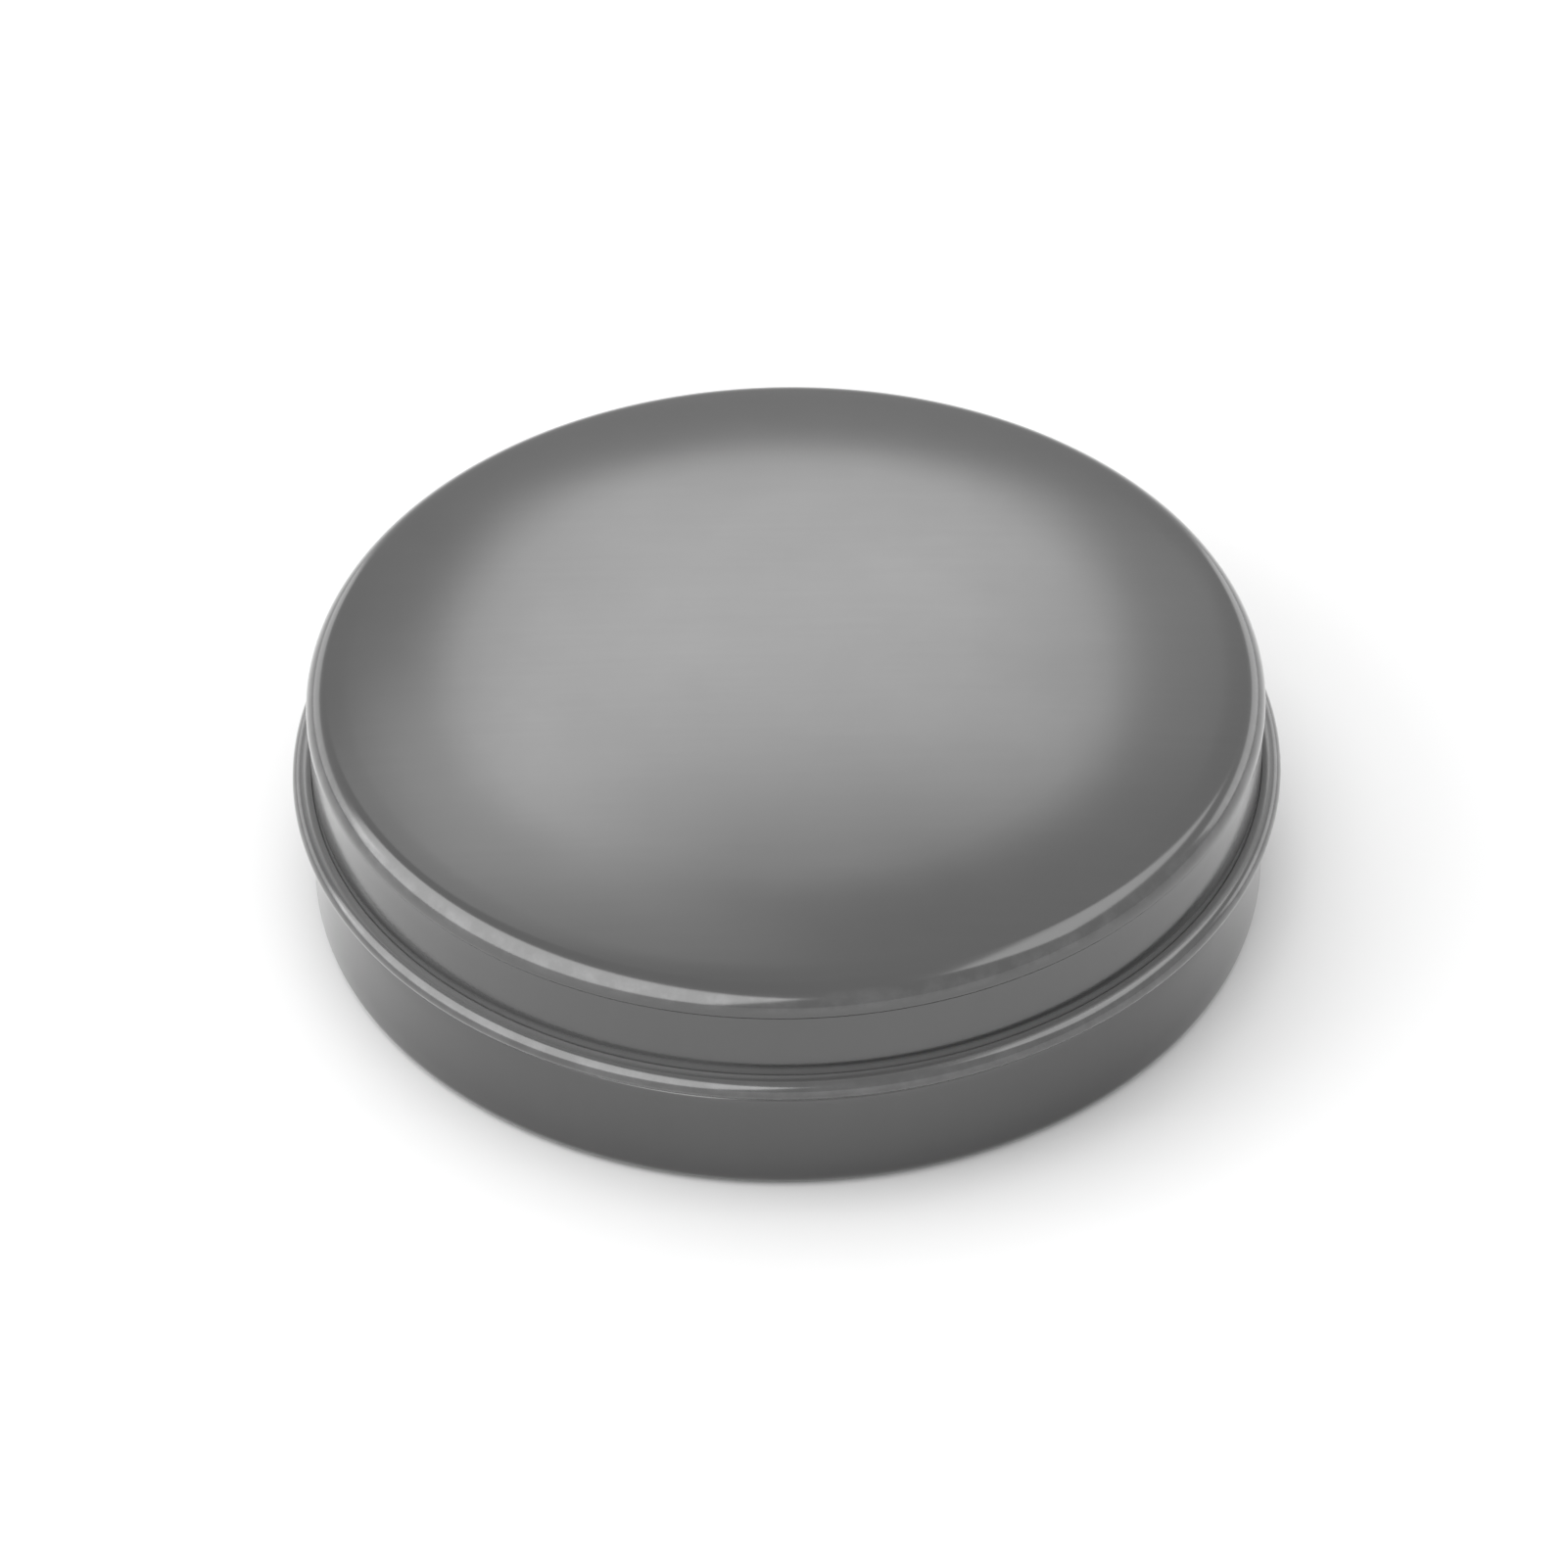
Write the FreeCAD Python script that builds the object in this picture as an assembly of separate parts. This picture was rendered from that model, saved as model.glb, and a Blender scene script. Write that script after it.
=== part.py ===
import FreeCAD, Part
import math
import os

# A rosin cake for bows, kept in a shallow round slip-lid tin.
#
# Frame, in millimetres: origin at the centre of the tin's standing ring, on the surface that
# it stands on. +Z runs up the tin's axis. Every piece is round about that axis.
#
# The base is a drawn cup with a necked-in upper wall. The lid's skirt slips over the neck, and
# the lid's rolled hem stops just above the step. A board liner lies under the lid, a felt pad on
# the floor of the base, and the cast cake sits between them in the cloth that it is held by.

# ---- driving dimensions -------------------------------------------------------------------
METAL = 0.30                 # sheet metal of the base and the lid

BASE_RADIUS = 33.0           # outside of the base's wall
BASE_CORNER_BEND = 0.95      # bends below are radii of the metal's middle line
BASE_STEP_TOP = 8.65         # height where the neck begins
BASE_TOP = 15.0              # top of the base's curled mouth
NECK_RADIUS = 32.4           # outside of the neck
NECK_BEND = 0.6
MOUTH_CURL_BEND = 0.45
MOUTH_CURL_ANGLE = 285.0
PANEL_RADIUS = 28.4          # flat floor panel, raised inside the standing ring
PANEL_RISE = 0.6
PANEL_BEND = 0.45

LID_FIT = 0.10               # running clearance between the skirt and the neck
LID_EDGE_HEIGHT = 17.2       # where the lid's domed top meets its rounded shoulder
LID_CROWN_BEND = 700.0       # the middle of the top is nearly flat
LID_CROWN_REACH = 22.0       # radius where the crown gives way to a tighter roll-off
LID_ROLL_ANGLE = 5.0         # how far the roll-off turns before the shoulder
LID_SHOULDER_BEND = 1.55
RIM_STEP = 0.12              # the shoulder stands this much proud of the skirt
RIM_STEP_HEIGHT = 15.12      # where the skirt starts, under the step
RIM_STEP_BEND = 0.20
HEM_HEIGHT = 9.5             # middle of the rolled hem
HEM_BEND = 0.675
HEM_CURL_ANGLE = 306.0

LINER_RADIUS = 31.2
LINER_THICKNESS = 1.3
LINER_GAP = 0.12             # play between the liner and the lid, and under the liner
LINER_EDGE = 0.25

PAD_RADIUS = 30.4
PAD_THICKNESS = 1.3
PAD_EDGE = 0.3

CAKE_RADIUS = 28.0           # at the top edge; the sides draw in towards the bottom
CAKE_DRAFT = 0.6
CAKE_THICKNESS = 11.0
CAKE_TOP_EDGE = 0.7
CAKE_BOTTOM_EDGE = 1.2
CAKE_DISH = 0.25             # the cast face sinks this much towards its middle
CAKE_PLAY = 0.15             # play between the pad and the cloth under the cake

CLOTH_THICKNESS = 0.5        # single layer under the cake
CLOTH_FOLDS = 2.6            # depth of the gathered folds round the cake
CLOTH_TOP_ABOVE_CAKE = 0.45
CLOTH_EDGE = 0.35


# ---- profiles -----------------------------------------------------------------------------
def point(radius, height):
    """A point of a profile, in the XZ plane."""
    return FreeCAD.Vector(radius, 0, height)


def revolve(edges):
    """Turn a closed profile about the Z axis into a solid."""
    face = Part.Face(Part.Wire(Part.__sortEdges__(edges)))
    return face.revolve(FreeCAD.Vector(0, 0, 0), FreeCAD.Vector(0, 0, 1), 360)


class SheetPath:
    """The middle line of a sheet-metal section, drawn as straight runs and round bends.

    Headings are in degrees, 0 pointing outwards along +X and 90 pointing up. A positive bend
    turns from +X towards +Z.
    """

    def __init__(self, radius, height, heading):
        self.radius = radius
        self.height = height
        self.heading = heading
        self.steps = []
        self.start = self.stop()

    def stop(self):
        """The two corners of the section here, one on each side of the middle line."""
        turn = math.radians(self.heading)
        across = point(-math.sin(turn), math.cos(turn)) * (METAL / 2)
        middle = point(self.radius, self.height)
        return middle + across, middle - across

    def run(self, length):
        turn = math.radians(self.heading)
        self.radius += length * math.cos(turn)
        self.height += length * math.sin(turn)
        self.steps.append((None, self.stop()))

    def bend(self, bend_radius, angle):
        side = math.copysign(1, angle)
        turn = math.radians(self.heading)
        centre_radius = self.radius - side * bend_radius * math.sin(turn)
        centre_height = self.height + side * bend_radius * math.cos(turn)
        halves = []
        for part in (0.5, 1.0):
            swung = turn + math.radians(angle * part)
            self.radius = centre_radius + side * bend_radius * math.sin(swung)
            self.height = centre_height - side * bend_radius * math.cos(swung)
            self.heading = math.degrees(swung)
            halves.append(self.stop())
        self.steps.append((halves[0], halves[1]))

    def run_to_radius(self, radius):
        self.run((radius - self.radius) / math.cos(math.radians(self.heading)))

    def run_to_height(self, height):
        self.run((height - self.height) / math.sin(math.radians(self.heading)))

    def solid(self):
        edges = []
        last = self.start
        for middle, ends in self.steps:
            for side in (0, 1):
                if middle is None:
                    edge = Part.LineSegment(last[side], ends[side])
                else:
                    edge = Part.Arc(last[side], middle[side], ends[side])
                edges.append(edge.toShape())
            last = ends
        edges.append(Part.LineSegment(self.start[0], self.start[1]).toShape())
        edges.append(Part.LineSegment(last[0], last[1]).toShape())
        return revolve(edges)


def s_bend(path, bend_radius, angle):
    """Two equal and opposite bends, which shift the sheet sideways."""
    path.bend(bend_radius, angle)
    path.bend(bend_radius, -angle)


def rounded_turning(corners):
    """Solid of revolution from (radius, height, fillet) corners; the first and last lie on Z."""
    edges = []
    last = point(*corners[0][:2])
    for before, corner, after in zip(corners, corners[1:], corners[2:]):
        here = point(*corner[:2])
        fillet = corner[2]
        back = (point(*before[:2]) - here).normalize()
        ahead = (point(*after[:2]) - here).normalize()
        half = back.getAngle(ahead) / 2
        reach = fillet / math.tan(half)
        entry = here + back * reach
        leave = here + ahead * reach
        inwards = (back + ahead).normalize()
        crown = here + inwards * (fillet / math.sin(half) - fillet)
        edges.append(Part.LineSegment(last, entry).toShape())
        edges.append(Part.Arc(entry, crown, leave).toShape())
        last = leave
    end = point(*corners[-1][:2])
    edges.append(Part.LineSegment(last, end).toShape())
    edges.append(Part.LineSegment(end, point(*corners[0][:2])).toShape())
    return revolve(edges)


# ---- heights and radii that follow from the driving dimensions ----------------------------
FLOOR_TOP = PANEL_RISE + METAL
PAD_TOP = FLOOR_TOP + PAD_THICKNESS
CLOTH_BOTTOM = PAD_TOP + CAKE_PLAY
CAKE_BOTTOM = CLOTH_BOTTOM + CLOTH_THICKNESS
CAKE_TOP = CAKE_BOTTOM + CAKE_THICKNESS
LINER_TOP = LID_EDGE_HEIGHT - METAL - LINER_GAP
SKIRT_LINE = NECK_RADIUS + LID_FIT + METAL / 2      # middle line of the lid's skirt


# ---- pieces -------------------------------------------------------------------------------
def tin_base():
    """Drawn cup: raised floor panel, standing ring, wall, necked-in upper wall, curled mouth."""
    wall_line = BASE_RADIUS - METAL / 2
    neck_line = NECK_RADIUS - METAL / 2
    panel_angle = math.degrees(math.acos(1 - PANEL_RISE / (2 * PANEL_BEND)))
    neck_angle = math.degrees(math.acos(1 - (wall_line - neck_line) / (2 * NECK_BEND)))
    neck_height = 2 * NECK_BEND * math.sin(math.radians(neck_angle))

    path = SheetPath(0, PANEL_RISE + METAL / 2, 0)
    path.run_to_radius(PANEL_RADIUS)
    s_bend(path, PANEL_BEND, -panel_angle)
    path.run_to_radius(wall_line - BASE_CORNER_BEND)
    path.bend(BASE_CORNER_BEND, 90)
    path.run_to_height(BASE_STEP_TOP - neck_height)
    s_bend(path, NECK_BEND, neck_angle)
    path.run_to_height(BASE_TOP - METAL / 2 - MOUTH_CURL_BEND)
    path.bend(MOUTH_CURL_BEND, MOUTH_CURL_ANGLE)
    return path.solid()


def tin_lid():
    """Lid: shallow domed top, rounded shoulder, small step, skirt, and a hem rolled outwards."""
    crown_turn = math.asin(LID_CROWN_REACH / LID_CROWN_BEND)
    edge_turn = crown_turn + math.radians(LID_ROLL_ANGLE)
    shoulder_start = SKIRT_LINE + RIM_STEP - LID_SHOULDER_BEND * (1 - math.sin(edge_turn))
    roll_bend = (shoulder_start - LID_CROWN_REACH) / (math.sin(edge_turn) - math.sin(crown_turn))
    rise = (LID_CROWN_BEND * (1 - math.cos(crown_turn))
            + roll_bend * (math.cos(crown_turn) - math.cos(edge_turn)))
    step_turn = math.acos(1 - RIM_STEP / (2 * RIM_STEP_BEND))
    step_height = 2 * RIM_STEP_BEND * math.sin(step_turn)

    path = SheetPath(0, LID_EDGE_HEIGHT - METAL / 2 + rise, 0)
    path.bend(LID_CROWN_BEND, -math.degrees(crown_turn))
    path.bend(roll_bend, -LID_ROLL_ANGLE)
    path.bend(LID_SHOULDER_BEND, math.degrees(edge_turn) - 90)
    path.run_to_height(RIM_STEP_HEIGHT + step_height)
    s_bend(path, RIM_STEP_BEND, -math.degrees(step_turn))
    path.run_to_height(HEM_HEIGHT)
    path.bend(HEM_BEND, HEM_CURL_ANGLE)
    return path.solid()


def lid_liner():
    """Paper-faced board disc under the lid."""
    bottom = LINER_TOP - LINER_THICKNESS
    return rounded_turning([(0, bottom, 0),
                            (LINER_RADIUS, bottom, LINER_EDGE),
                            (LINER_RADIUS, LINER_TOP, LINER_EDGE),
                            (0, LINER_TOP, 0)])


def base_pad():
    """Felt disc on the raised floor panel."""
    return rounded_turning([(0, FLOOR_TOP, 0),
                            (PAD_RADIUS, FLOOR_TOP, PAD_EDGE),
                            (PAD_RADIUS, PAD_TOP, PAD_EDGE),
                            (0, PAD_TOP, 0)])


def rosin_cake():
    """Cast cake: drafted side, rounded edges, and a face that sinks a little as it sets."""
    return rounded_turning([(0, CAKE_BOTTOM, 0),
                            (CAKE_RADIUS - CAKE_DRAFT, CAKE_BOTTOM, CAKE_BOTTOM_EDGE),
                            (CAKE_RADIUS, CAKE_TOP, CAKE_TOP_EDGE),
                            (0, CAKE_TOP - CAKE_DISH, 0)])


def cake_cloth():
    """Space of the cloth: one layer under the cake and a band of gathered folds round it."""
    inner = CAKE_RADIUS + 0.05
    outer = inner + CLOTH_FOLDS
    top = CAKE_TOP + CLOTH_TOP_ABOVE_CAKE
    cup = rounded_turning([(0, CLOTH_BOTTOM, 0),
                           (outer, CLOTH_BOTTOM, 2 * CLOTH_EDGE),
                           (outer, top, CLOTH_EDGE),
                           (0, top, 0)])
    hollow = Part.makeCylinder(inner, CAKE_THICKNESS * 2, point(0, CAKE_BOTTOM))
    return cup.cut(hollow)


PIECES = {
    "tin_base": tin_base,
    "tin_lid": tin_lid,
    "lid_liner": lid_liner,
    "base_pad": base_pad,
    "rosin_cake": rosin_cake,
    "cake_cloth": cake_cloth,
}

os.makedirs("parts", exist_ok=True)
for name, make in PIECES.items():
    shape = make()
    if not (shape.isValid() and len(shape.Solids) == 1 and shape.Volume > 0):
        raise SystemExit(f"{name} is not one valid solid")
    shape.exportStep(f"parts/{name}.step")
    box = shape.optimalBoundingBox(False)
    print(f"{name}: volume {shape.Volume:.1f} mm3, radius {box.XMax:.2f}, "
          f"height {box.ZMin:.2f} to {box.ZMax:.2f}")
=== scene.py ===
import math

import bpy
import bmesh
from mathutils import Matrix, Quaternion, Vector, noise


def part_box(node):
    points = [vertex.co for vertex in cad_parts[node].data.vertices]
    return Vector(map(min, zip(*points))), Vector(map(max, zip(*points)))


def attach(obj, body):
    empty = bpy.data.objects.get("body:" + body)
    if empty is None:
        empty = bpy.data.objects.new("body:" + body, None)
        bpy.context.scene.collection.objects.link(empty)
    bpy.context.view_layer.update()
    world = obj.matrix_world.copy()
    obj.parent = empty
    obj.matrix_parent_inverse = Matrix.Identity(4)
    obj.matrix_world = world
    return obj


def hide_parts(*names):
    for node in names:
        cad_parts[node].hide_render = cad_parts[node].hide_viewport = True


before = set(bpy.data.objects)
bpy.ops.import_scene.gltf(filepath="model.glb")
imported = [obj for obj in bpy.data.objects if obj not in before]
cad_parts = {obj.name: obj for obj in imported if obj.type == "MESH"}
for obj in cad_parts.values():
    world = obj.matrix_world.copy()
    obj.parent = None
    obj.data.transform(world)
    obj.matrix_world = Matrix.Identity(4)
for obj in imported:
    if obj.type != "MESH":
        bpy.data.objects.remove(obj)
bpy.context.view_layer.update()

# A rosin cake in its round slip-lid tin, lit on a pale floor. Lengths are in millimetres and are
# scaled to metres where a mesh is made; lights and camera are in metres. Every piece is round
# about the Z axis, but for slight waves in its faces and the folds of the cloth.

MM = 0.001


def node_box(node):
    """(lowest height, highest height, radius) of a CAD node, in millimetres."""
    low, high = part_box(node)
    return low.z / MM, high.z / MM, high.x / MM


BASE_LOW, BASE_TOP, BASE_RADIUS = node_box("tin_base")
LID_LOW, LID_HIGH, HEM_RADIUS = node_box("tin_lid")
LINER_LOW, LINER_HIGH, LINER_RADIUS = node_box("lid_liner")
PAD_LOW, PAD_HIGH, PAD_RADIUS = node_box("base_pad")
CAKE_LOW, CAKE_HIGH, CAKE_RADIUS = node_box("rosin_cake")
CLOTH_LOW, _, CLOTH_RADIUS = node_box("cake_cloth")

# ---- the same bends, edges and thicknesses as the CAD model ---------------------------------
METAL = 0.30
BASE_CORNER_BEND = 0.95
BASE_STEP_TOP = 8.65
NECK_RADIUS = 32.4
NECK_BEND = 0.6
MOUTH_CURL_BEND = 0.45
MOUTH_CURL_ANGLE = 285.0
PANEL_RADIUS = 28.4
PANEL_RISE = 0.6
PANEL_BEND = 0.45
LID_FIT = 0.10
LID_CROWN_BEND = 700.0
LID_CROWN_REACH = 22.0
LID_ROLL_ANGLE = 5.0
LID_SHOULDER_BEND = 1.55
RIM_STEP = 0.12
RIM_STEP_HEIGHT = 15.12
RIM_STEP_BEND = 0.20
HEM_BEND = 0.675
HEM_CURL_ANGLE = 306.0
LINER_EDGE = 0.25
PAD_EDGE = 0.3
CAKE_DRAFT = 0.6
CAKE_TOP_EDGE = 0.7
CAKE_BOTTOM_EDGE = 1.2
CAKE_DISH = 0.25

ROUND_SEGMENTS = 288         # steps round the tin
LONGEST_RUN = 1.6            # longest step along a profile
BEND_STEP = 9.0              # degrees of bend in one step


class SheetLine:
    """Both faces of a sheet-metal section. Headings are in degrees, 0 outwards and 90 up."""

    def __init__(self, radius, height, heading):
        self.radius, self.height, self.heading = radius, height, heading
        self.left, self.right = [], []
        self.mark()

    def mark(self):
        turn = math.radians(self.heading)
        across = (-math.sin(turn) * METAL / 2, math.cos(turn) * METAL / 2)
        self.left.append((self.radius + across[0], self.height + across[1]))
        self.right.append((self.radius - across[0], self.height - across[1]))

    def run(self, length):
        turn = math.radians(self.heading)
        steps = max(1, math.ceil(length / LONGEST_RUN))
        for _ in range(steps):
            self.radius += length / steps * math.cos(turn)
            self.height += length / steps * math.sin(turn)
            self.mark()

    def bend(self, bend_radius, angle):
        side = math.copysign(1, angle)
        turn = math.radians(self.heading)
        centre = (self.radius - side * bend_radius * math.sin(turn),
                  self.height + side * bend_radius * math.cos(turn))
        arc = bend_radius * math.radians(abs(angle))
        steps = max(2, math.ceil(abs(angle) / BEND_STEP), math.ceil(arc / LONGEST_RUN))
        for step in range(1, steps + 1):
            swung = turn + math.radians(angle) * step / steps
            self.radius = centre[0] + side * bend_radius * math.sin(swung)
            self.height = centre[1] - side * bend_radius * math.cos(swung)
            self.heading = math.degrees(swung)
            self.mark()

    def run_to_radius(self, radius):
        self.run((radius - self.radius) / math.cos(math.radians(self.heading)))

    def run_to_height(self, height):
        self.run((height - self.height) / math.sin(math.radians(self.heading)))

    def outline(self):
        """From the axis out along one face, round the free edge, and back along the other."""
        return self.left + self.right[::-1]


# ---- mesh helpers --------------------------------------------------------------------------
def finish_mesh(name, bm, sharp=38.0, unit=MM, scene=None):
    """A smooth-shaded object from a bmesh in millimetres; unit is the length of one of them."""
    bmesh.ops.recalc_face_normals(bm, faces=bm.faces)
    mesh = bpy.data.meshes.new(name)
    bmesh.ops.scale(bm, vec=(unit, unit, unit), verts=bm.verts)
    bm.to_mesh(mesh)
    bm.free()
    mesh.shade_smooth()
    mesh.set_sharp_from_angle(angle=math.radians(sharp))
    piece = bpy.data.objects.new(name, mesh)
    (scene or bpy.context.scene).collection.objects.link(piece)
    return piece


def lathe(outline, segments=ROUND_SEGMENTS, shift=None):
    """A closed bmesh turned from (radius, height) points that start and end on the axis.

    shift, where given, moves each point: it takes the angle, radius and height and returns the
    new radius and height.
    """
    bm = bmesh.new()
    rings = []
    for radius, height in outline:
        if radius < 1e-6:
            rings.append([bm.verts.new((0, 0, shift(0, 0, height)[1] if shift else height))])
            continue
        ring = []
        for step in range(segments):
            angle = 2 * math.pi * step / segments
            r, z = shift(angle, radius, height) if shift else (radius, height)
            ring.append(bm.verts.new((r * math.cos(angle), r * math.sin(angle), z)))
        rings.append(ring)
    for inner, outer in zip(rings, rings[1:]):
        for step in range(segments):
            after = (step + 1) % segments
            if len(inner) == 1:
                bm.faces.new((inner[0], outer[step], outer[after]))
            elif len(outer) == 1:
                bm.faces.new((inner[step], outer[0], inner[after]))
            else:
                bm.faces.new((inner[step], outer[step], outer[after], inner[after]))
    return bm


def rounded_outline(corners, longest=LONGEST_RUN):
    """(radius, height) points along straight runs between filleted (radius, height, fillet)."""
    points = [corners[0][:2]]

    def run_to(end):
        start = Vector(points[-1])
        span = Vector(end) - start
        steps = max(1, math.ceil(span.length / longest))
        points.extend(tuple(start + span * step / steps) for step in range(1, steps + 1))

    for before, corner, after in zip(corners, corners[1:], corners[2:]):
        here = Vector(corner[:2])
        back = (Vector(before[:2]) - here).normalized()
        ahead = (Vector(after[:2]) - here).normalized()
        half = back.angle(ahead) / 2
        reach = corner[2] / math.tan(half)
        run_to(here + back * reach)
        centre = here + (back + ahead).normalized() * (corner[2] / math.sin(half))
        first = Vector(points[-1]) - centre
        last = here + ahead * reach - centre
        steps = max(2, math.ceil(math.degrees(first.angle(last)) / BEND_STEP))
        for step in range(1, steps + 1):
            swung = first.lerp(last, step / steps).normalized() * corner[2]
            points.append(tuple(centre + swung))
    run_to(corners[-1][:2])
    return points


# ---- material helpers ----------------------------------------------------------------------
BASE_TONE = 0.100            # reflectance of the lacquered metal
LID_TONE = 0.108
WORN_TONE = (1.9, 1.9, 1.92)  # how much brighter rubbed metal is, in red, green and blue
SEAM_PAINTED_LIGHT = 0.55             # how strongly pale grey is painted into the crease over the hem: painted light that lifts its shade
# Colour of the painted light in the crease over the hem.
SEAM_PAINTED_LIGHT_COLOUR = (0.30, 0.30, 0.30)


class Paint:
    """A procedural material with a Principled shader and object-space coordinates."""

    def __init__(self, name, **constants):
        self.material = bpy.data.materials.new(name)
        self.material.use_nodes = True
        self.tree = self.material.node_tree
        self.shader = self.tree.nodes["Principled BSDF"]
        for socket, value in constants.items():
            self.shader.inputs[socket.replace("_", " ")].default_value = value
        self.place = self.add("ShaderNodeTexCoord").outputs["Object"]

    def add(self, kind, **settings):
        node = self.tree.nodes.new(kind)
        for setting, value in settings.items():
            setattr(node, setting, value)
        return node

    def link(self, out, into):
        self.tree.links.new(out, into)

    def stretched(self, x, y, z):
        """Object coordinates, scaled by a different amount along each axis."""
        mapping = self.add("ShaderNodeMapping")
        mapping.inputs["Scale"].default_value = (x, y, z)
        self.link(self.place, mapping.inputs["Vector"])
        return mapping.outputs["Vector"]

    def noise(self, scale, detail=4.0, roughness=0.55, place=None):
        node = self.add("ShaderNodeTexNoise")
        node.inputs["Scale"].default_value = scale
        node.inputs["Detail"].default_value = detail
        node.inputs["Roughness"].default_value = roughness
        self.link(place or self.place, node.inputs["Vector"])
        return node.outputs["Fac"]

    def math(self, operation, a, b, clamp=False):
        node = self.add("ShaderNodeMath", operation=operation, use_clamp=clamp)
        for socket, value in zip(node.inputs, (a, b)):
            if isinstance(value, (int, float)):
                socket.default_value = value
            else:
                self.link(value, socket)
        return node.outputs[0]

    def ramp(self, value, *stops):
        """Colours or greys at positions from 0 to 1."""
        node = self.add("ShaderNodeValToRGB")
        elements = node.color_ramp.elements
        while len(elements) < len(stops):
            elements.new(0.5)
        for element, (position, colour) in zip(elements, stops):
            grey = isinstance(colour, (int, float))
            element.position = position
            element.color = (colour, colour, colour, 1) if grey else (*colour, 1)
        self.link(value, node.inputs["Fac"])
        return node.outputs["Color"]

    def mix(self, fac, a, b):
        node = self.add("ShaderNodeMix", data_type="RGBA")
        for socket, value in zip((node.inputs[0], node.inputs[6], node.inputs[7]), (fac, a, b)):
            if isinstance(value, (int, float)):
                socket.default_value = value
            elif isinstance(value, tuple):
                socket.default_value = (*value, 1)
            else:
                self.link(value, socket)
        return node.outputs[2]

    def bump(self, height, strength, distance):
        """Adds a layer of bump, distance in millimetres, over any that is there."""
        node = self.add("ShaderNodeBump")
        node.inputs["Strength"].default_value = strength
        node.inputs["Distance"].default_value = distance * MM
        self.link(height, node.inputs["Height"])
        below = self.shader.inputs["Normal"].links
        if below:
            self.link(below[0].from_socket, node.inputs["Normal"])
        self.link(node.outputs["Normal"], self.shader.inputs["Normal"])

    def set(self, socket, value):
        self.link(value, self.shader.inputs[socket])

    def ring(self, ring_radius, ring_height, reach):
        """1 on a circle round the axis, falling to 0 at reach from it; all in millimetres."""
        split = self.add("ShaderNodeSeparateXYZ")
        self.link(self.place, split.inputs[0])
        across = self.math("POWER", split.outputs["X"], 2)
        along = self.math("POWER", split.outputs["Y"], 2)
        radius = self.math("SQRT", self.math("ADD", across, along), 0)
        off_radius = self.math("SUBTRACT", radius, ring_radius * MM)
        off_height = self.math("SUBTRACT", split.outputs["Z"], ring_height * MM)
        away = self.math("ADD", self.math("POWER", off_radius, 2),
                         self.math("POWER", off_height, 2))
        return self.math("SUBTRACT", 1.0, self.math("DIVIDE", away, (reach * MM) ** 2), True)


def tinplate(name, tone, wear_rings, seam=None):
    """Drawn tinplate under a satin grey lacquer.

    wear_rings are (radius, height, reach) rings in millimetres where hands and shelves rub the
    metal a little brighter. seam is the ring of a crease where pale grey is painted in as painted
    light, lifting its shade.
    """
    paint = Paint(name, Metallic=1.0, Coat_Weight=0.6, Coat_Roughness=0.15, Coat_IOR=1.5)
    mottle = paint.noise(90, 5)
    fine = paint.noise(1400, 3)
    grain = paint.noise(60, 6, 0.7, paint.stretched(1, 26, 1))
    worn = paint.ring(*wear_rings[0])
    for ring in wear_rings[1:]:
        worn = paint.math("MAXIMUM", worn, paint.ring(*ring))
    patchy = paint.ramp(paint.noise(420, 6, 0.65), (0.42, 0.0), (0.66, 1.0))
    worn = paint.math("MULTIPLY", worn, patchy)
    base = paint.ramp(mottle, (0.3, tone * 0.97), (0.7, tone * 1.03))
    base = paint.mix(0.25, base, paint.ramp(grain, (0.35, tone * 0.94), (0.65, tone * 1.05)))
    rubbed = tuple(tone * gain for gain in WORN_TONE)
    base = paint.mix(paint.math("MULTIPLY", worn, 0.35), base, rubbed)
    rough = paint.ramp(paint.noise(150, 3), (0.25, 0.155), (0.75, 0.185))
    rough = paint.mix(paint.math("MULTIPLY", worn, 0.6), rough, (0.16, 0.16, 0.16))
    if seam:
        # Painted light: pale grey, less metallic and rougher, mixed into the crease over the hem to
        # lift the shade that falls there.
        dust_and_painted_light = paint.math("MULTIPLY", paint.ring(*seam), SEAM_PAINTED_LIGHT)
        base = paint.mix(dust_and_painted_light, base, SEAM_PAINTED_LIGHT_COLOUR)
        rough = paint.mix(dust_and_painted_light, rough, (0.7, 0.7, 0.7))
        paint.set("Metallic", paint.math("SUBTRACT", 1.0, dust_and_painted_light))
    paint.set("Base Color", base)
    paint.set("Roughness", rough)
    paint.bump(fine, 0.06, 0.006)
    return paint.material


def amber_rosin():
    """Cast rosin: deep clear amber with a glossy skin, faint clouds and a little dust."""
    paint = Paint("rosin", IOR=1.50, Transmission_Weight=0.25, Subsurface_Weight=0.9,
                  Subsurface_Scale=0.006, Subsurface_Radius=(1.0, 0.28, 0.05))
    clouds = paint.noise(55, 4, 0.5)
    colour = paint.ramp(clouds, (0.30, (0.46, 0.080, 0.002)), (0.55, (0.66, 0.155, 0.004)),
                        (0.80, (0.80, 0.245, 0.008)))
    dust_and_painted_light = paint.ramp(paint.noise(1600, 6, 0.7), (0.60, 0.0), (0.74, 1.0))
    drifts = paint.ramp(paint.noise(110, 3), (0.50, 0.0), (0.72, 0.18))
    veil = paint.math("MULTIPLY", dust_and_painted_light, drifts)
    paint.set("Base Color", paint.mix(veil, colour, (0.80, 0.60, 0.36)))
    paint.set("Roughness", paint.ramp(veil, (0.0, 0.09), (0.3, 0.42)))
    paint.bump(paint.noise(90, 3), 0.06, 0.04)
    paint.bump(dust_and_painted_light, 0.10, 0.006)
    return paint.material


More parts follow.
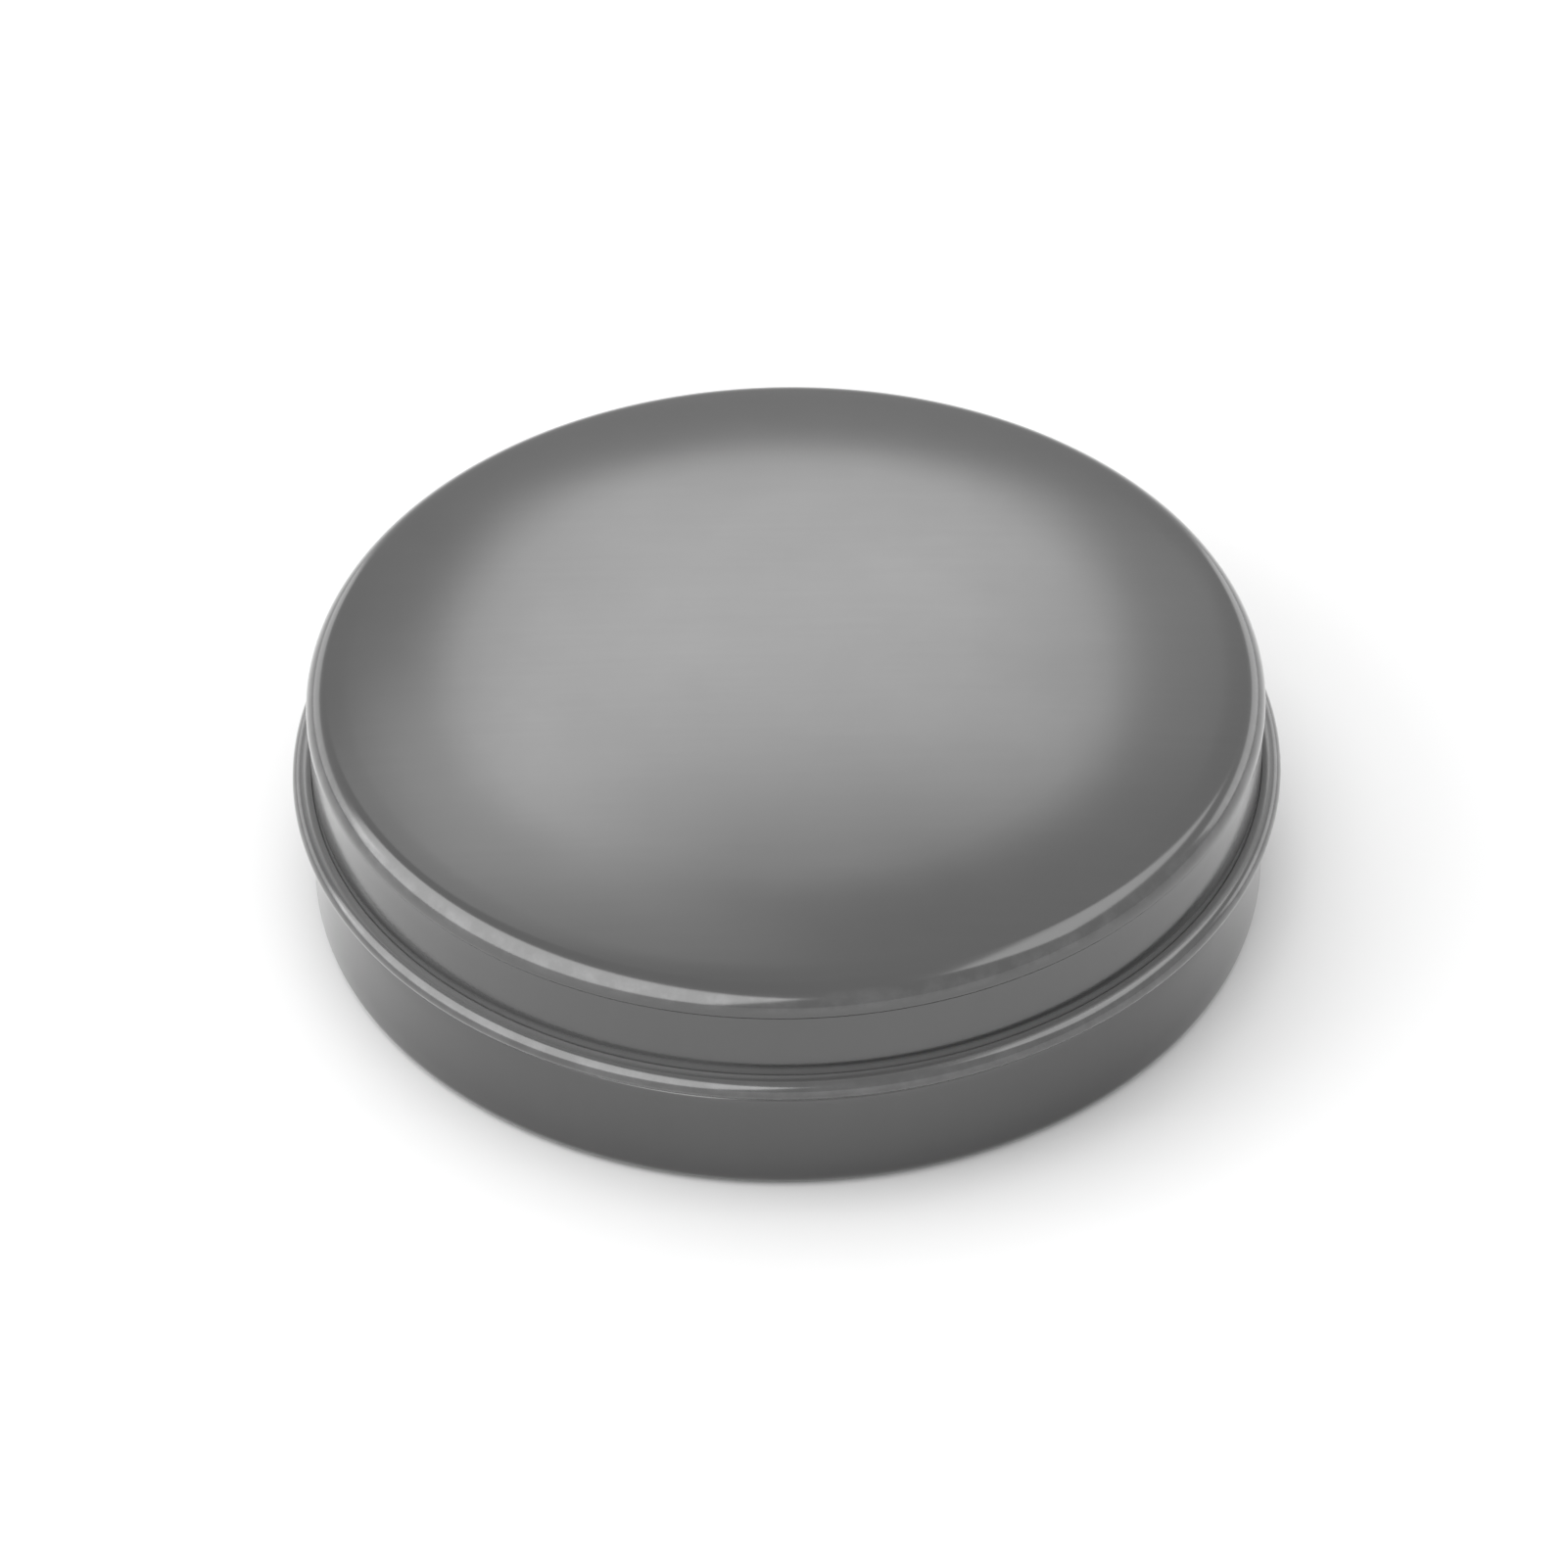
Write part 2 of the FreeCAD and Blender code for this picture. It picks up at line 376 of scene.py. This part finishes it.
def velvet():
    """Short-pile cloth: deep colour, pile that catches light at grazing angles."""
    paint = Paint("cake_cloth", Roughness=0.95, Sheen_Weight=1.0, Sheen_Roughness=0.28,
                  Sheen_Tint=(0.80, 0.16, 0.20, 1), Specular_IOR_Level=0.05)
    lie = paint.noise(160, 4)
    tufts = paint.noise(2400, 4, 0.7)
    colour = paint.ramp(lie, (0.3, (0.050, 0.004, 0.008)), (0.7, (0.125, 0.010, 0.018)))
    colour = paint.mix(paint.ramp(tufts, (0.35, 0.5), (0.65, 0.0)), colour, (0.018, 0.002, 0.004))
    paint.set("Base Color", colour)
    paint.bump(tufts, 0.6, 0.05)
    paint.bump(lie, 0.3, 0.10)
    return paint.material


def felt():
    """Pressed felt: matted fibres running every way."""
    paint = Paint("felt", Roughness=1.0, Sheen_Weight=0.35, Sheen_Roughness=0.6,
                  Specular_IOR_Level=0.08)
    threads = paint.noise(1500, 8, 0.75, paint.stretched(1, 0.35, 1))
    crossing = paint.noise(1500, 8, 0.75, paint.stretched(0.35, 1, 1))
    fibres = paint.math("ADD", threads, crossing)
    fibres = paint.math("MULTIPLY", fibres, 0.5)
    clumps = paint.noise(220, 4)
    colour = paint.ramp(fibres, (0.40, (0.020, 0.021, 0.023)), (0.62, (0.085, 0.086, 0.09)))
    colour = paint.mix(paint.ramp(clumps, (0.35, 0.0), (0.7, 0.5)), colour, (0.05, 0.05, 0.054))
    paint.set("Base Color", colour)
    paint.bump(fibres, 0.8, 0.12)
    return paint.material


def paperboard():
    """Paper-faced board: warm white, faint fibres and flecks."""
    paint = Paint("liner_board", Roughness=0.85, Specular_IOR_Level=0.25)
    fibres = paint.noise(900, 7, 0.7, paint.stretched(1, 0.4, 1))
    flecks = paint.ramp(paint.noise(500, 2), (0.68, 0.0), (0.74, 1.0))
    colour = paint.ramp(fibres, (0.3, (0.66, 0.63, 0.55)), (0.7, (0.80, 0.78, 0.71)))
    colour = paint.mix(paint.math("MULTIPLY", flecks, 0.25), colour, (0.42, 0.36, 0.27))
    paint.set("Base Color", colour)
    paint.bump(fibres, 0.4, 0.04)
    return paint.material


def settle(piece, node, body, material):
    """Gives a finished piece its material and body, and hides the CAD node it stands in for."""
    piece.data.materials.clear()
    piece.data.materials.append(material)
    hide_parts(node)
    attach(piece, body)
    return piece


# ---- pieces --------------------------------------------------------------------------------
def make_tin_base():
    wall_line = BASE_RADIUS - METAL / 2
    neck_line = NECK_RADIUS - METAL / 2
    panel_angle = math.degrees(math.acos(1 - PANEL_RISE / (2 * PANEL_BEND)))
    neck_angle = math.degrees(math.acos(1 - (wall_line - neck_line) / (2 * NECK_BEND)))
    neck_height = 2 * NECK_BEND * math.sin(math.radians(neck_angle))
    line = SheetLine(0, PANEL_RISE + METAL / 2, 0)
    line.run_to_radius(PANEL_RADIUS)
    line.bend(PANEL_BEND, -panel_angle)
    line.bend(PANEL_BEND, panel_angle)
    line.run_to_radius(wall_line - BASE_CORNER_BEND)
    line.bend(BASE_CORNER_BEND, 90)
    line.run_to_height(BASE_STEP_TOP - neck_height)
    line.bend(NECK_BEND, neck_angle)
    line.bend(NECK_BEND, -neck_angle)
    line.run_to_height(BASE_TOP - METAL / 2 - MOUTH_CURL_BEND)
    line.bend(MOUTH_CURL_BEND, MOUTH_CURL_ANGLE)
    piece = finish_mesh("base_shell", lathe(line.outline()))
    rub = [(BASE_RADIUS - 0.3, 0.3, 0.9), (NECK_RADIUS - 0.4, BASE_TOP, 0.7)]
    return settle(piece, "tin_base", "base",
                  tinplate("base_tinplate", BASE_TONE, rub))


def make_tin_lid():
    skirt_line = NECK_RADIUS + LID_FIT + METAL / 2
    crown_turn = math.asin(LID_CROWN_REACH / LID_CROWN_BEND)
    edge_turn = crown_turn + math.radians(LID_ROLL_ANGLE)
    shoulder_start = skirt_line + RIM_STEP - LID_SHOULDER_BEND * (1 - math.sin(edge_turn))
    roll_bend = (shoulder_start - LID_CROWN_REACH) / (math.sin(edge_turn) - math.sin(crown_turn))
    step_turn = math.degrees(math.acos(1 - RIM_STEP / (2 * RIM_STEP_BEND)))
    step_height = 2 * RIM_STEP_BEND * math.sin(math.radians(step_turn))
    hem_height = LID_LOW + HEM_BEND + METAL / 2
    line = SheetLine(0, LID_HIGH - METAL / 2, 0)
    line.bend(LID_CROWN_BEND, -math.degrees(crown_turn))
    line.bend(roll_bend, -LID_ROLL_ANGLE)
    line.bend(LID_SHOULDER_BEND, math.degrees(edge_turn) - 90)
    line.run_to_height(RIM_STEP_HEIGHT + step_height)
    line.bend(RIM_STEP_BEND, -step_turn)
    line.bend(RIM_STEP_BEND, step_turn)
    line.run_to_height(hem_height)
    line.bend(HEM_BEND, HEM_CURL_ANGLE)
    piece = finish_mesh("lid_shell", lathe(line.outline()))
    rub = [(HEM_RADIUS, LID_LOW + 0.9, 1.0), (skirt_line, RIM_STEP_HEIGHT + 1.2, 0.8)]
    # The crease over the hem, painted paler as painted light to lift its shade.
    seam = (skirt_line + METAL, hem_height + HEM_BEND, 0.75)
    return settle(piece, "tin_lid", "lid",
                  tinplate("lid_tinplate", LID_TONE, rub, seam))


def make_lid_liner():
    outline = rounded_outline([(0, LINER_LOW, 0), (LINER_RADIUS, LINER_LOW, LINER_EDGE),
                               (LINER_RADIUS, LINER_HIGH, LINER_EDGE), (0, LINER_HIGH, 0)])

    def cockle(angle, radius, height):
        place = Vector((radius * math.cos(angle), radius * math.sin(angle), 3)) * 0.09
        return radius - 0.01, height + 0.03 * noise.noise(place) * min(1, radius / 3)

    piece = finish_mesh("liner_disc", lathe(outline, 192, cockle))
    return settle(piece, "lid_liner", "liner", paperboard())


def make_base_pad():
    outline = rounded_outline([(0, PAD_LOW, 0), (PAD_RADIUS, PAD_LOW, PAD_EDGE),
                               (PAD_RADIUS, PAD_HIGH, PAD_EDGE), (0, PAD_HIGH, 0)], 0.8)

    def matted(angle, radius, height):
        place = Vector((radius * math.cos(angle), radius * math.sin(angle), height))
        rise = 0.06 * noise.noise(place * 0.9) + 0.03 * noise.noise(place * 3.1)
        upper = height > (PAD_LOW + PAD_HIGH) / 2
        return radius - 0.06 + 0.05 * noise.noise(place * 2.2), height + (rise - 0.05) * upper

    piece = finish_mesh("felt_pad", lathe(outline, 288, matted))
    return settle(piece, "base_pad", "base", felt())


def make_rosin_cake():
    outline = rounded_outline([(0, CAKE_LOW, 0),
                               (CAKE_RADIUS - CAKE_DRAFT, CAKE_LOW, CAKE_BOTTOM_EDGE),
                               (CAKE_RADIUS, CAKE_HIGH, CAKE_TOP_EDGE),
                               (0, CAKE_HIGH - CAKE_DISH, 0)], 0.9)

    def set_unevenly(angle, radius, height):
        place = Vector((radius * math.cos(angle), radius * math.sin(angle), height))
        wave = 0.025 * noise.noise(place * 0.12) + 0.006 * noise.noise(place * 0.7)
        return radius - 0.03 + wave * 0.5, height + (wave - 0.03) * (height > CAKE_LOW + 1)

    piece = finish_mesh("rosin", lathe(outline, ROUND_SEGMENTS, set_unevenly), 60)
    return settle(piece, "rosin_cake", "cake", amber_rosin())


# The cloth is cut to a disc. A simulation draws it up round the cake, as it gathers when cake and
# cloth are pushed into the tin together. Cloth solves badly at millimetre size, so it is worked
# out larger and then brought down.
CLOTH_FLAT_RADIUS = 40.0
CLOTH_THICKNESS = 0.32
CLOTH_COLUMNS = 260
CLOTH_HELD = 26.3            # the cake's weight holds the cloth flat inside this radius
CLOTH_FLAT_RINGS = [6.0, 12.0, 18.0, 22.0, 24.5, CLOTH_HELD]
CLOTH_RING = 0.85            # distance between rings of the cloth where it gathers
CLOTH_CORNER = 1.4           # round of the cloth under the cake's lower edge
CUP_LIP = 3.0                # round of the mouth that draws the cloth up
CUP_RADIUS = 46.0            # outside of the cup
CUP_DEPTH = 16.0
CUP_RISE = 15.5              # how far the cup rises past the cloth
SIM_PLAY = 0.05              # between the cake, the cloth's space and the colliders
SIM_CAKE_TOP = 30.0          # taller than the real cake, so that the cloth can't fold over it
SIM_UNIT = 0.1               # simulation lengths per millimetre
SIM_FRAMES = 42
SIM_SETTLE = 6               # frames left for the cloth to settle once the cup is up
SIM_GAP = 0.012              # how near the simulated cloth comes to a collider
SIM_SELF_GAP = 0.022         # how near it comes to itself


def cloth_radii():
    """Flat radii of the cloth's rings, close together where it gathers."""
    rings = round((CLOTH_FLAT_RADIUS - CLOTH_HELD) / CLOTH_RING)
    step = (CLOTH_FLAT_RADIUS - CLOTH_HELD) / rings
    return CLOTH_FLAT_RINGS + [CLOTH_HELD + step * ring for ring in range(1, rings + 1)]


def cloth_disc(place):
    """The cloth as a bmesh of rings; place gives a point from its flat radius and angle."""
    bm = bmesh.new()
    rings = [[bm.verts.new(place(radius, 2 * math.pi * column / CLOTH_COLUMNS))
              for column in range(CLOTH_COLUMNS)] for radius in cloth_radii()]
    centre = bm.verts.new(place(0, 0))
    for column in range(CLOTH_COLUMNS):
        after = (column + 1) % CLOTH_COLUMNS
        bm.faces.new((centre, rings[0][column], rings[0][after]))
        for near, far in zip(rings, rings[1:]):
            bm.faces.new((near[column], far[column], far[after], near[after]))
    return bm


def turned_up(radius, angle):
    """Where the cloth would lie with no folds, flat under the cake and then up its side."""
    low = CLOTH_LOW + CLOTH_THICKNESS / 2
    side = (CAKE_RADIUS + CLOTH_RADIUS) / 2
    flat = side - CLOTH_CORNER
    swing = min(math.pi / 2, max(0.0, (radius - flat) / CLOTH_CORNER))
    risen = max(0.0, radius - flat - CLOTH_CORNER * math.pi / 2)
    across = min(radius, flat) + CLOTH_CORNER * math.sin(swing)
    height = low + CLOTH_CORNER * (1 - math.cos(swing)) + risen
    return across * math.cos(angle), across * math.sin(angle), height


def laid_flat(radius, angle):
    """The cut cloth on the bench, with the slight waves that start its folds."""
    spread = max(0.0, (radius - CLOTH_HELD) / (CLOTH_FLAT_RADIUS - CLOTH_HELD))
    wave = noise.noise(Vector((math.cos(angle) * 5, math.sin(angle) * 5, radius * 0.2 + 3)))
    height = CLOTH_LOW + CLOTH_THICKNESS / 2 + 0.25 * wave * spread
    return radius * math.cos(angle), radius * math.sin(angle), height


def add_collider(scene, name, outline, friction):
    """A turned solid that the simulated cloth can't pass."""
    piece = finish_mesh(name, lathe(outline, 144), unit=SIM_UNIT, scene=scene)
    piece.modifiers.new("collision", "COLLISION")
    piece.collision.thickness_outer = SIM_GAP
    piece.collision.thickness_inner = 0.2
    piece.collision.cloth_friction = friction
    piece.collision.damping = 0.5
    return piece


def quarter(centre, radius, start, turn):
    """(radius, height) points of a quarter round, from a start angle in degrees."""
    swings = [math.radians(start + turn * step / 8) for step in range(9)]
    return [(centre[0] + radius * math.cos(swing), centre[1] + radius * math.sin(swing))
            for swing in swings]


def gathered_mesh():
    """The cut cloth drawn up into the gap round the cake by a rising cup."""
    scene = bpy.data.scenes.new("gathering")
    side = CAKE_RADIUS + SIM_PLAY
    under = CLOTH_LOW + CLOTH_THICKNESS
    corner = quarter((side - CLOTH_CORNER, under + CLOTH_CORNER), CLOTH_CORNER, -90, 90)
    top = [(side, SIM_CAKE_TOP), (0, SIM_CAKE_TOP)]
    cake = add_collider(scene, "sim_cake", [(0, under)] + corner + top, 0.5)
    mouth = CLOTH_RADIUS - SIM_PLAY
    lip = quarter((mouth + CUP_LIP, -CUP_LIP), CUP_LIP, 180, -90)
    inside = [(mouth, -CUP_DEPTH), (mouth, -CUP_DEPTH / 2)]
    outside = [(CUP_RADIUS, 0.0), (CUP_RADIUS, -CUP_DEPTH), (mouth, -CUP_DEPTH)]
    cup = add_collider(scene, "sim_cup", inside + lip + outside, 4.0)
    for moment, rise in ((1, -0.1), (SIM_FRAMES - SIM_SETTLE, CUP_RISE)):
        cup.location.z = (CLOTH_LOW + rise) * SIM_UNIT
        cup.keyframe_insert("location", index=2, frame=moment)
    for key in cup.animation_data.action.fcurves[0].keyframe_points:
        key.interpolation = "LINEAR"
    cloth = finish_mesh("sim_cloth", cloth_disc(laid_flat), 180, SIM_UNIT, scene)
    held = cloth.vertex_groups.new(name="held")
    reach = (CLOTH_HELD + 0.01) * SIM_UNIT
    held.add([v.index for v in cloth.data.vertices if v.co.xy.length < reach], 1.0, "REPLACE")
    modifier = cloth.modifiers.new("cloth", "CLOTH")
    fabric = modifier.settings
    fabric.quality = 6
    fabric.mass = 0.15
    fabric.tension_stiffness = fabric.compression_stiffness = 25
    fabric.shear_stiffness = 8
    fabric.bending_stiffness = 2
    fabric.tension_damping = fabric.compression_damping = fabric.shear_damping = 8
    fabric.bending_damping = 1
    fabric.air_damping = 2
    fabric.vertex_group_mass = "held"
    fabric.effector_weights.gravity = 0
    touch = modifier.collision_settings
    touch.collision_quality = 4
    touch.distance_min = SIM_GAP
    touch.use_self_collision = True
    touch.self_distance_min = SIM_SELF_GAP
    touch.self_friction = 2
    scene.frame_end = modifier.point_cache.frame_end = SIM_FRAMES
    for moment in range(1, SIM_FRAMES + 1):
        scene.frame_set(moment)
    solved = cloth.evaluated_get(scene.view_layers[0].depsgraph)
    mesh = bpy.data.meshes.new_from_object(solved)
    for helper in (cake, cup, cloth):
        bpy.data.objects.remove(helper)
    bpy.data.scenes.remove(scene)
    lowest = CLOTH_LOW + CLOTH_THICKNESS / 2
    for vertex in mesh.vertices:
        vertex.co *= MM / SIM_UNIT
        vertex.co.z = max(vertex.co.z, lowest * MM)
    return mesh


def make_cake_cloth():
    """A round cloth under the cake, its edge gathered up round the side in soft folds."""
    piece = finish_mesh("cloth", cloth_disc(turned_up), 180)
    piece.data = gathered_mesh()
    smooth = piece.modifiers.new("smooth", "SUBSURF")
    smooth.levels = smooth.render_levels = 1
    thick = piece.modifiers.new("thickness", "SOLIDIFY")
    thick.thickness = CLOTH_THICKNESS * MM
    thick.offset = 0.0
    return settle(piece, "cake_cloth", "cake", velvet())


make_tin_base()
make_tin_lid()
make_lid_liner()
make_base_pad()
make_rosin_cake()
make_cake_cloth()


# ---- camera, floor and light ---------------------------------------------------------------
CAMERA_ELEVATION = 40.9
CAMERA_ROLL = -0.85
CAMERA_DISTANCE = 0.528
CAMERA_LENS = 174.7
CAMERA_SENSOR = 36.0
AIM = Vector((-0.2, 0.0, 7.1)) * MM
FLOOR_REACH = 2.5
FLOOR_COLOUR = (0.80, 0.80, 0.80, 1)
SKY_STRENGTH = 0.90


def make_camera():
    camera = bpy.data.objects.new("camera", bpy.data.cameras.new("camera"))
    bpy.context.scene.collection.objects.link(camera)
    tilt = math.radians(CAMERA_ELEVATION)
    back = Vector((0, -math.cos(tilt), math.sin(tilt)))
    camera.location = AIM + back * CAMERA_DISTANCE
    camera.rotation_mode = "QUATERNION"
    look = (-back).to_track_quat("-Z", "Y")
    roll = Quaternion((0, 0, 1), math.radians(CAMERA_ROLL))
    camera.rotation_quaternion = look @ roll
    camera.data.lens = CAMERA_LENS
    camera.data.sensor_width = CAMERA_SENSOR
    camera.data.clip_start = 0.01
    camera.data.clip_end = 20.0
    bpy.context.scene.camera = camera


def softbox(name, azimuth, elevation, distance, width, height, radiance,
            glossy=True, diffuse=True):
    """A rectangular light aimed at the tin. Azimuth 0 is behind it, and positive to its right."""
    turn, lift = math.radians(azimuth), math.radians(elevation)
    out = Vector((math.sin(turn) * math.cos(lift), math.cos(turn) * math.cos(lift), math.sin(lift)))
    light = bpy.data.lights.new(name, "AREA")
    light.shape = "RECTANGLE"
    light.size = width
    light.size_y = height
    light.energy = radiance * width * height * math.pi
    lamp = bpy.data.objects.new(name, light)
    lamp.location = out * distance
    lamp.rotation_euler = out.to_track_quat("Z", "Y").to_euler()
    lamp.visible_glossy = glossy
    lamp.visible_diffuse = diffuse
    lamp.visible_camera = False
    bpy.context.scene.collection.objects.link(lamp)
    return lamp


def make_floor():
    bm = bmesh.new()
    bmesh.ops.create_grid(bm, x_segments=4, y_segments=4, size=FLOOR_REACH)
    mesh = bpy.data.meshes.new("floor")
    bm.to_mesh(mesh)
    bm.free()
    floor = bpy.data.objects.new("floor", mesh)
    bpy.context.scene.collection.objects.link(floor)
    paint = Paint("floor", Roughness=1.0, Specular_IOR_Level=0.0)
    paint.shader.inputs["Base Color"].default_value = FLOOR_COLOUR
    mesh.materials.append(paint.material)


def make_light():
    world = bpy.data.worlds.new("studio")
    world.use_nodes = True
    world.node_tree.nodes["Background"].inputs["Color"].default_value = (1, 1, 1, 1)
    world.node_tree.nodes["Background"].inputs["Strength"].default_value = SKY_STRENGTH
    bpy.context.scene.world = world
    # Arguments: azimuth, elevation, distance, width, height, radiance. The lid mirrors the three
    # nested back boxes and the wings; the shoulder and the bead mirror the boxes at the sides.
    for layer, width, height in ((0, 0.34, 0.33), (1, 0.28, 0.27), (2, 0.22, 0.21)):
        softbox("back_box", 0, 38.8, 1.4 + 0.02 * layer, width, height, 0.71, diffuse=False)
    softbox("back_wing", -10, 44.5, 1.5, 0.20, 0.28, 0.6, diffuse=False)
    softbox("left_glow", -15, 49, 1.6, 0.50, 0.40, 0.4, diffuse=False)
    softbox("right_glow", 11, 38, 1.6, 0.22, 0.34, 0.3, diffuse=False)
    softbox("left_box", -120, 30, 1.0, 2.2, 1.2, 1.9, diffuse=False)
    softbox("right_box", 78, 58, 1.0, 0.9, 0.45, 1.3, diffuse=False)
    softbox("left_rim", -50, 14, 1.3, 1.3, 0.50, 1.1, diffuse=False)
    softbox("right_rim", 50, 14, 1.3, 1.3, 0.50, 1.1, diffuse=False)
    softbox("key", -35, 76, 1.2, 1.1, 1.1, 1.5, glossy=False)
    softbox("left_key", -105, 42, 0.28, 0.16, 0.16, 2.4, glossy=False)
    softbox("front_fill", 175, 50, 1.4, 1.4, 0.9, 0.8, glossy=False)


make_camera()
make_floor()
make_light()
bpy.context.scene.view_settings.view_transform = "Standard"
